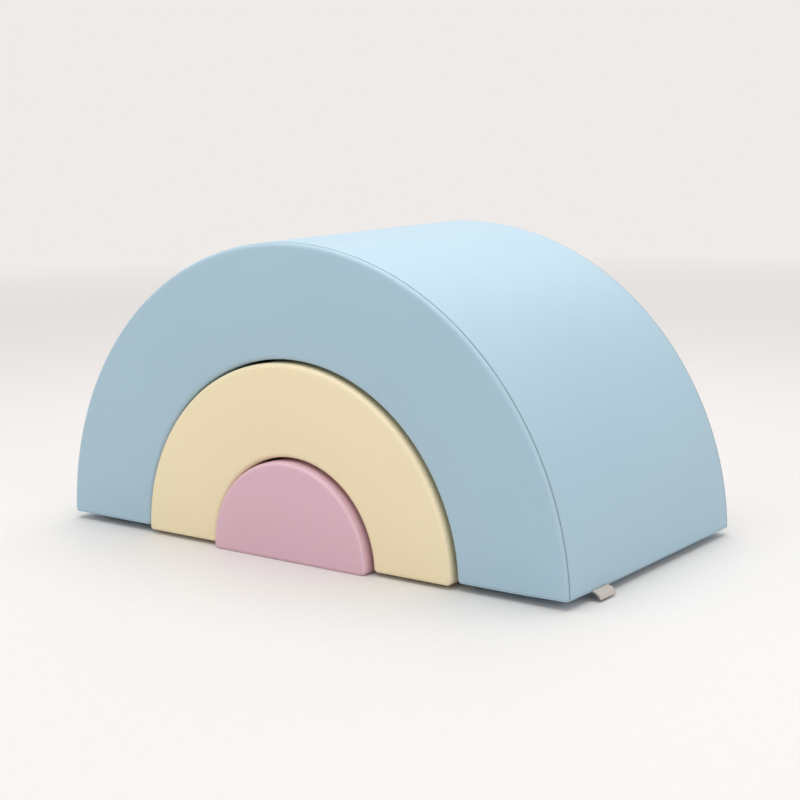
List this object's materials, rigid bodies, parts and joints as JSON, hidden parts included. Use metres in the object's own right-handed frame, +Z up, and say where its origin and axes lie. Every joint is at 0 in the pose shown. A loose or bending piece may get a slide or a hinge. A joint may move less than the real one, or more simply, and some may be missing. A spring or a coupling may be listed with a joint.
{
  "type": "soft play arch bridge",
  "caption": "Soft play bridge of nesting half-round foam blocks in sewn leatherette covers with hidden zips; the inner blocks slide out of the tunnels.",
  "frame": {"origin": "middle of the bridge's box, on the floor, with the side label in the box", "axes": "+X to the right along the width, +Y from the front face to the back along the tunnels, +Z up"},
  "size_m": [0.9121, 0.477, 0.4497],
  "materials": {
    "blue_cover": "smooth satin grey-blue leatherette",
    "yellow_cover": "smooth satin cream-yellow leatherette",
    "pink_cover": "smooth satin dusty-pink leatherette",
    "foam": "cut polyurethane foam",
    "zip_tape": "woven tape",
    "zip_coil": "nylon coil",
    "zip_metal": "nickelled",
    "label_cloth": "blank woven label"
  },
  "bodies": {
    "blue_arch": {"blue_foam_core": "foam", "blue_front_panel": "blue_cover", "blue_rear_panel": "blue_cover", "blue_outer_band": "blue_cover", "blue_inner_band": "blue_cover", "blue_right_base": "blue_cover", "blue_zip_base_outer": "blue_cover", "blue_zip_base_inner": "blue_cover", "blue_zip_tape_outer": "zip_tape", "blue_zip_tape_inner": "zip_tape", "blue_zip_coil_outer": "zip_coil", "blue_zip_coil_inner": "zip_coil", "blue_zip_top_stop_outer": "zip_metal", "blue_zip_top_stop_inner": "zip_metal", "blue_zip_bottom_stop": "zip_metal", "blue_label": "label_cloth"},
    "yellow_arch": {"yellow_foam_core": "foam", "yellow_front_panel": "yellow_cover", "yellow_rear_panel": "yellow_cover", "yellow_outer_band": "yellow_cover", "yellow_inner_band": "yellow_cover", "yellow_right_base": "yellow_cover", "yellow_zip_base_outer": "yellow_cover", "yellow_zip_base_inner": "yellow_cover", "yellow_zip_tape_outer": "zip_tape", "yellow_zip_tape_inner": "zip_tape", "yellow_zip_coil_outer": "zip_coil", "yellow_zip_coil_inner": "zip_coil", "yellow_zip_top_stop_outer": "zip_metal", "yellow_zip_top_stop_inner": "zip_metal", "yellow_zip_bottom_stop": "zip_metal"},
    "pink_block": {"pink_foam_core": "foam", "pink_front_panel": "pink_cover", "pink_rear_panel": "pink_cover", "pink_band": "pink_cover", "pink_zip_base_outer": "pink_cover", "pink_zip_base_inner": "pink_cover", "pink_zip_tape_outer": "zip_tape", "pink_zip_tape_inner": "zip_tape", "pink_zip_coil_outer": "zip_coil", "pink_zip_coil_inner": "zip_coil", "pink_zip_top_stop_outer": "zip_metal", "pink_zip_top_stop_inner": "zip_metal", "pink_zip_bottom_stop": "zip_metal"},
    "blue_slider": {"blue_zip_slider": "zip_metal"},
    "yellow_slider": {"yellow_zip_slider": "zip_metal"},
    "pink_slider": {"pink_zip_slider": "zip_metal"}
  },
  "joints": [
    {"name": "yellow_slide", "type": "slide", "parent": "blue_arch", "child": "yellow_arch", "axis": [0, -1, 0], "range_m": [-0.49, 0.47]},
    {"name": "pink_slide", "type": "slide", "parent": "yellow_arch", "child": "pink_block", "axis": [0, -1, 0], "range_m": [-0.5, 0.46]},
    {"name": "blue_zip_slide", "type": "slide", "parent": "blue_arch", "child": "blue_slider", "axis": [0, -1, 0], "range_m": [0, 0.324], "deforming": ["blue_zip_coil_outer", "blue_zip_coil_inner"]},
    {"name": "yellow_zip_slide", "type": "slide", "parent": "yellow_arch", "child": "yellow_slider", "axis": [0, -1, 0], "range_m": [0, 0.324], "deforming": ["yellow_zip_coil_outer", "yellow_zip_coil_inner"]},
    {"name": "pink_zip_slide", "type": "slide", "parent": "pink_block", "child": "pink_slider", "axis": [0, -1, 0], "range_m": [0, 0.324], "deforming": ["pink_zip_coil_outer", "pink_zip_coil_inner"]}
  ]
}
